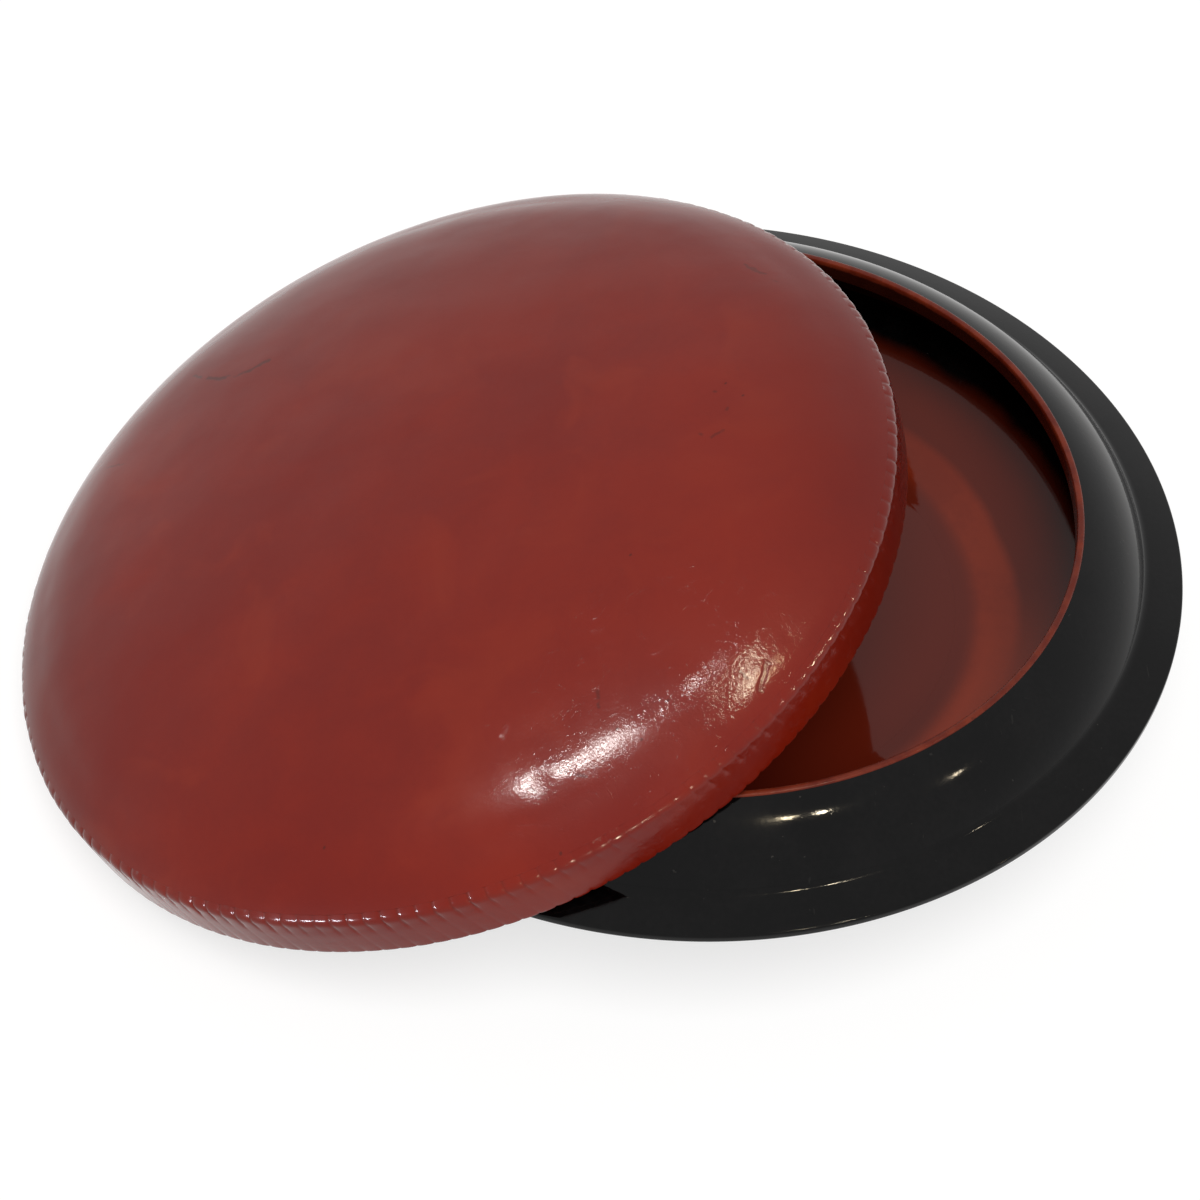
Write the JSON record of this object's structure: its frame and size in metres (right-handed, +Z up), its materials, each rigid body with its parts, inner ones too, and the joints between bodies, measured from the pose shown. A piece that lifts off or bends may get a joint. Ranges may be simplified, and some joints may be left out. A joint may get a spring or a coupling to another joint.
{
  "type": "lacquer lidded bowl",
  "caption": "Round footed food bowl with a flange, rounded shoulder and deep well, and a low domed lid with a wound edge, slid off and leaning across the bowl's lip.",
  "frame": {"origin": "under the middle of the whole, bowl and leaning lid together, at the level of the table it stands on; the bowl's own axis is at x = 42.2 mm", "axes": "+Z up, along the bowl's axis; +X from the leaning lid towards the open side of the bowl; +Y completes a right-handed frame"},
  "size_m": [0.4851, 0.4, 0.1553],
  "materials": {
    "black_lacquer": "gloss black lacquer over coiled bamboo, with a soft grey sheen",
    "well_lacquer": "smooth glossy dark red lacquer",
    "lip_lacquer": "satin orange-red lacquer, a little worn on the edge",
    "lid_lacquer": "glossy brick-red lacquer with a hand-made, slightly uneven surface"
  },
  "bodies": {
    "bowl": {"foot_hoop": "black_lacquer", "floor_panel": "well_lacquer", "well_wall": "well_lacquer", "flange_ring": "black_lacquer", "shoulder_ring": "black_lacquer", "lip_hoop": "lip_lacquer"},
    "lid": {"dome_panel": "lid_lacquer", "side_hoop": "lid_lacquer", "edge_winding": "lid_lacquer"}
  },
  "joints": [
    {"name": "lid_lift", "type": "slide", "parent": "bowl", "child": "lid", "axis": [0, 0, 1], "range_m": [0, 0.15]}
  ]
}
